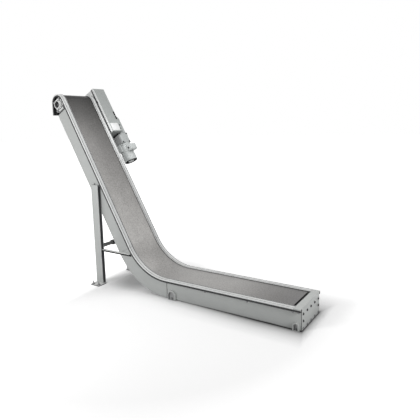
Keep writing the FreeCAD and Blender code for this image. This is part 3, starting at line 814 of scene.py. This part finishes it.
# Blackened steel for bolts and fittings; on the foot plates' edges it serves as painted shade.
blackened_and_painted_shade = painted("blackened_and_painted_shade", (0.022, 0.022, 0.024), worn=0.22, wear=0.6, reach=0.0012, dust=0.1)
for label, side in sides:
    seats = [Matrix.Translation((x, frame_side * side, 0.153)) for x in (0.674, 0.621, 0.192, -0.253)]
    seats.append(incline @ Matrix.Translation((-0.777, frame_side * side, 0.086)))
    bolts = [hex_bolt(seat @ outward[label], 0.012, 0.006, 0.0012) for seat in seats]
    finished(joined(*bolts), label + "_frame_bolts", zinc)
to_tail = Matrix.Rotation(radians(90), 4, "Y")
columns = (-0.172, -0.086, 0.0, 0.086, 0.172)
upper = [(tail_end, y, 0.140) for y in columns] + [(tail_end, -0.172, 0.080), (tail_end, 0.172, 0.080)]
bolts = bolt_set(upper, to_tail, 0.013, 0.006, 0.0012)
finished(joined(*bolts), "end_plate_bolts", blackened_and_painted_shade)
bolts = bolt_set([(tail_end, y, 0.017) for y in columns], to_tail, 0.013, 0.006, 0.0012)
finished(joined(*bolts), "end_plate_low_bolts", zinc)


# Drive guard. A folded sheet box on the drive plate, which stands off the far side frame on spacers, with a
# black strip in the gap behind it as painted shade. Its top has a blank plate, and slots and holes drawn as
# black patches, painted shade, and its outer face carries the gear case.

guard_upper, guard_lower = -1.895, -1.325
guard_inner, guard_outer = 0.232, 0.390
guard_face = 0.228
guard_paint = painted("guard_paint", (0.345, 0.363, 0.355), dust=0.15, cloud=0.07)
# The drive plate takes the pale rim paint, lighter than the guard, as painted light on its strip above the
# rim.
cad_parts["drive_plate"].material_slots[0].material = rim_paint
# A black strip in the gap between the rim and the drive plate: painted shade.
mesh = block((guard_upper, 0.2232, 0.190), (guard_lower, 0.2262, 0.206))
finished(mesh, "plate_shade_strip", rubber_and_painted_shade, (), incline)
mesh = sheet_box(
    (guard_upper, guard_inner, 0.020), (guard_lower, guard_outer, guard_face), ((0, -1, 0),), 0.004, 0.003
)
finished(mesh, "chain_guard", guard_paint, ["drive_guard"], incline)
screws = [(x, guard_outer, 0.205) for x in (-1.870, -1.735, -1.600)]
screws = bolt_set(screws, outward["far"], 0.009, 0.004, 0.001)
finished(joined(*screws), "guard_screws", blackened_and_painted_shade, (), incline)
blank = eased(block((-1.430, 0.245, guard_face + 0.0001), (-1.335, 0.358, guard_face + 0.0009)), 0.0003)
finished(blank, "blank_plate", rim_paint, (), incline)


# Gear case, reducer and motor. Cast aluminium sprayed the frame's grey: a round-ended case on the guard,
# a reducer with a flat cover and an opening beside it drawn as a black patch, painted shade, a finned motor
# with its sheet fan cowl, a terminal box with a screwed lid, and the bracket that they stand on. The motor,
# cowl, terminal box and bracket take a lighter copy of the paint, painted light for their shaded place.

case_side = 0.459
case_top = 0.187
reducer_upper, reducer_lower = -1.320, -1.190
reducer_side = 0.477
bracket_low, bracket_top = 0.025, 0.033
bracket_end, bracket_side = -1.100, 0.351
drive_paint = painted("drive_paint", (0.35, 0.367, 0.363), worn=0.42, wear=0.5, dust=0.3, cloud=0.06)
mesh = block((-1.575, guard_outer, bracket_top), (reducer_upper, case_side, case_top))
rounded(mesh, [edge for edge in along(mesh, (0, 1, 0)) if edge.verts[0].co.x < -1.5], 0.0769, 18)
mesh.normal_update()
front = [face for face in mesh.faces if face.normal.y > 0.9]
bmesh.ops.inset_region(mesh, faces=front, thickness=0.006, depth=0.0)
front = [face for face in mesh.faces if face.normal.y > 0.9 and face.calc_area() > 0.01]
bmesh.ops.inset_region(mesh, faces=front, thickness=0.002, depth=-0.004)
finished(eased(mesh, 0.003, 3), "case_of_gears", drive_paint, ["gear_case"], incline)

# The slots and holes are black patches on the surface: painted shade.
openings = []
for x, y, half in ((-1.5585, 0.3755, 0.026), (-1.5045, 0.3765, 0.021)):
    low = (x - half, y - 0.0115, guard_face - 0.0005)
    high = (x + half, y + 0.0115, guard_face + 0.0007)
    openings.append(eased(block(low, high), 0.0003))
openings.append(eased(block((-1.733, 0.2253, 0.198), (-1.708, 0.2268, 0.213)), 0.0003))
for x, y in ((-1.402, 0.377), (-1.358, 0.371)):
    openings.append(moved(rod(0.009, guard_face - 0.0002, guard_face + 0.0006), (x, y, 0)))
finished(joined(*openings), "drive_openings", painted_shade_black, (), incline)

mesh = eased(block((reducer_upper, 0.352, bracket_top), (reducer_lower, reducer_side, case_top)), 0.006, 3)
finished(mesh, "reducer_block", drive_paint, ["gear_reducer"], incline)
cover_grey = painted("cover_grey", (0.34, 0.345, 0.345), worn=0.32, wear=0.5, dust=0.2, cloud=0.10)
cover = eased(block((-1.302, 0.3485, 0.045), (-1.198, 0.3522, 0.176)), 0.0010)
finished(cover, "reducer_cover", cover_grey, (), incline)
# A black patch for the opening beside the cover: painted shade.
opening = eased(block((-1.3195, 0.3500, 0.045), (-1.303, 0.3522, 0.186)), 0.0006)
finished(opening, "reducer_opening", painted_shade_black, (), incline)
on_top = [(x, y, case_top) for x in (-1.308, -1.202) for y in (0.364, 0.465)]
rows = ((-1.545, (0.062, 0.158)), (-1.450, (0.044, 0.176)), (-1.345, (0.044, 0.176)))
on_side = [(x, case_side, z) for x, heights in rows for z in heights]
bolts = bolt_set(on_top, standing, 0.011, 0.005, 0.001)
bolts += bolt_set(on_side, outward["far"], 0.011, 0.005, 0.001)
finished(joined(*bolts), "gear_bolts", blackened_and_painted_shade, (), incline)

# A lighter copy of the drive paint, painted light for the motor, cowl, terminal box and bracket in their
# shaded place.
lightened_drive_paint = painted("lightened_drive_paint", (0.47, 0.49, 0.485), worn=0.50, wear=0.4, dust=0.3, cloud=0.05)
motor = incline @ Matrix.Translation((reducer_lower, 0.427, 0.110)) @ Matrix.Rotation(radians(90), 4, "Y")
mesh = turned(
    [
        (0, 0), (0.074, 0), (0.074, 0.012), (0.070, 0.015), (0.070, 0.107), (0.074, 0.110), (0.074, 0.120),
        (0, 0.120),
    ], 64
)
for number in range(36):
    turn = Matrix.Rotation(radians(10) * number, 4, "Z")
    fin = Matrix.Translation((0.0685, 0, 0.061)) @ Matrix.Diagonal((0.010, 0.0022, 0.094, 1))
    bmesh.ops.create_cube(mesh, size=1, matrix=turn @ fin)
finished(mesh, "finned_motor", lightened_drive_paint, ["motor_body"], motor)

cowl = turned(
    [
        (0, 0.1205), (0.076, 0.1205), (0.077, 0.1225), (0.077, 0.211), (0.0755, 0.2145), (0.073, 0.215),
        (0.0715, 0.213), (0.0715, 0.206), (0, 0.206),
    ], 64
)
hub = turned([(0, 0.2065), (0.036, 0.2065), (0.036, 0.213), (0.030, 0.2175), (0, 0.2175)], 40)
grille = []
for ring in (0.065, 0.057, 0.049, 0.041):
    inner, outer = ring - 0.001, ring + 0.001
    wire = [(inner, 0.207), (outer, 0.207), (outer, 0.213), (inner, 0.213), (inner, 0.207)]
    grille.append(turned(wire, 40))
for number in range(8):
    spoke = block((0.035, -0.0015, 0.207), (0.072, 0.0015, 0.212))
    grille.append(placed(spoke, Matrix.Rotation(radians(45) * number, 4, "Z")))
grille = joined(*grille)
# The cowl's end and its grille, inside the outer ring, are black: painted shade for the dark behind the
# grille.
for face in (*cowl.faces, *grille.faces):
    middle = face.calc_center_median()
    if middle.z > 0.2055 and middle.xy.length < 0.0722:
        face.material_index = 1
mesh = joined(cowl, grille, hub)
finished(mesh, "fan_cowl", [lightened_drive_paint, painted_shade_black], ["motor_fan_cowl"], motor)

mesh = eased(block((-1.148, 0.3795, 0.178), (-1.073, 0.4745, 0.232)), 0.006, 3)
lid = eased(block((-1.1475, 0.380, 0.2315), (-1.0735, 0.474, 0.242)), 0.004, 3)
finished(joined(mesh, lid), "terminal_housing", lightened_drive_paint, ["terminal_box"], incline)
screws = [(x, y, 0.242) for x in (-1.140, -1.081) for y in (0.388, 0.466)]
screws = bolt_set(screws, standing, 0.006, 0.003, 0.0)
gland = turned([(0, 0), (0.011, 0), (0.011, 0.004), (0.0085, 0.005), (0.0085, 0.0085), (0, 0.0085)], 24)
placed(gland, Matrix.Translation((-1.110, 0.3795, 0.205)) @ outward["near"])
finished(joined(*screws, gland), "terminal_fittings", blackened_and_painted_shade, (), incline)

plates = (
    ((reducer_upper, frame_side, bracket_low), (reducer_lower, reducer_side, bracket_top)),
    ((reducer_upper, frame_side, bracket_top), (reducer_lower, 0.208, 0.143)),
    ((reducer_lower, frame_side, bracket_low), (bracket_end, bracket_side, bracket_top)),
    ((reducer_lower, 0.339, bracket_top), (bracket_end, bracket_side, 0.130)),
)
mesh = joined(*(eased(block(low, high), 0.001) for low, high in plates))
finished(mesh, "drive_bracket", lightened_drive_paint, ["gear_bracket"], incline)


# Legs. Rolled channels open towards the tail, dark grey inside as painted shade, standing on foot plates and
# bolted to the side frames, tied by a square tube across, with a black sleeve at its middle as painted shade,
# and braced to the bend by angles that are pale on top and black beneath, painted light and shade.

leg_inside_shade = painted("leg_inside_shade", (0.17, 0.175, 0.18), worn=0.30, wear=0.5, dust=0.5, cloud=0.10)
upright = Matrix(((0, 0, -1, 0), (0, 1, 0, 0), (1, 0, 0, 0), (0, 0, 0, 1)))
leg_x = 1.60294
foot_anchor_side = 0.292
foot_top = 0.010
leg_section = (
    (0.200, leg_x + 0.050, 0.008), (0.200, leg_x - 0.050, 0), (0.206, leg_x - 0.050, 0),
    (0.206, leg_x + 0.044, 0.003), (0.235, leg_x + 0.044, 0.003), (0.235, leg_x - 0.050, 0),
    (0.241, leg_x - 0.050, 0), (0.241, leg_x + 0.050, 0.008),
)
angle_section = (
    (0.200, 0.352, 0), (0.204, 0.352, 0), (0.204, 0.378, 0.003), (0.230, 0.378, 0), (0.230, 0.382, 0),
    (0.200, 0.382, 0.0025),
)
for label, side in sides:
    mesh = eased(drawn(folded(leg_section, side), foot_top, 1.070), 0.0008)
    # The channel's inner faces take the dark grey: painted shade for its hollow.
    refinish(mesh, 1, lambda corner: 0.2052 < corner.y < 0.2358)
    finished(mesh, label + "_leg_channel", [frame_paint, leg_inside_shade], ["leg_" + label], upright)
    inner, outer = sorted((frame_side * side, 0.31 * side))
    plate = block((-leg_x - 0.0625, inner, 0), (-leg_x + 0.0625, outer, foot_top))
    plate = eased(rounded(plate, along(plate, (0, 0, 1)), 0.008, 4), 0.001)
    anchors = [(x - leg_x, foot_anchor_side * side) for x in (-0.040, 0.040)]
    plate = carved(plate, *(moved(rod(0.007, -0.01, 0.02), (x, y, 0)) for x, y in anchors))
    # The plate's pale top and near-black side edges are painted light and shade.
    refinish(plate, 1, lambda corner: corner.z < foot_top - 0.0005)
    finished(plate, label + "_foot", [rim_paint, blackened_and_painted_shade], ["foot_plate_" + label])
    mesh = drawn(folded(angle_section, side), -leg_x + 0.050, -leg_x + 0.444)
    # The angle is pale on top and black on its underside and upright leg: painted light and shade.
    refinish(mesh, 1, lambda corner: corner.y > 0.2035 and corner.z < 0.3785)
    finished(mesh, label + "_angle_brace", [cast_paint, painted_shade_black], ["brace_" + label])
    nuts = bolt_set([(x, y, foot_top) for x, y in anchors], standing, 0.019, 0.010, 0.002, 0.022)
    finished(joined(*nuts), label + "_foot_anchors", zinc)
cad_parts["cross_tie"].material_slots[0].material = cover_grey
# A black sleeve where the tie runs into the conveyor's shadow: painted shade.
sleeve = sheet_box((-1.6261, -0.045, 0.3808), (-1.5797, 0.045, 0.4272), ((0, -1, 0), (0, 1, 0)), 0.004, 0.003)
finished(sleeve, "tie_shade_sleeve", rubber_and_painted_shade)


# Floor lugs. Round-topped cast shoes on the side frames, hollow from the outer side, each over one floor
# anchor with its nut: on each side a broad one by the joint with the bend and a narrow one by the tail.

def arched(x, half, low, high, bottom, top):
    """A block with a half-round top, standing across the body."""
    mesh = block((x - half, low, bottom), (x + half, high, top))
    crown = [edge for edge in along(mesh, (0, 1, 0)) if edge.verts[0].co.z > bottom + 0.001]
    return rounded(mesh, crown, half * 0.999, 12)


wall, sole = 0.010, 0.006
for label, side in sides:
    anchor_side = 0.214 * side
    for end, x, half, top in (("tail", 0.655, 0.028, 0.072), ("mid", -0.637, 0.046, 0.094)):
        outside = sorted((frame_side * side, 0.222 * side))
        inside = sorted((0.206 * side, 0.236 * side))
        solid = eased(arched(x, half, *outside, 0.0, top), 0.002, 2)
        hollow = arched(x, half - wall, *inside, sole, top - wall)
        mesh = carved(solid, hollow, moved(rod(0.005, -0.01, 0.02), (x, anchor_side, 0)))
        # The shoe's hollow inside takes the darker grey: painted shade.
        refinish(
            mesh, 1, lambda corner: abs(corner.x - x) < half - 0.0098 and 0.0058 < corner.z < top - 0.0098
        )
        name = label + "_shoe_" + end
        finished(mesh, name, [frame_paint, cover_grey], ["floor_lug_" + label + "_" + end])
        anchor = hex_bolt(Matrix.Translation((x, anchor_side, sole)), 0.0125, 0.008, 0.0, 0.014)
        finished(anchor, label + "_shoe_anchor_" + end, zinc)


low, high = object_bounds()
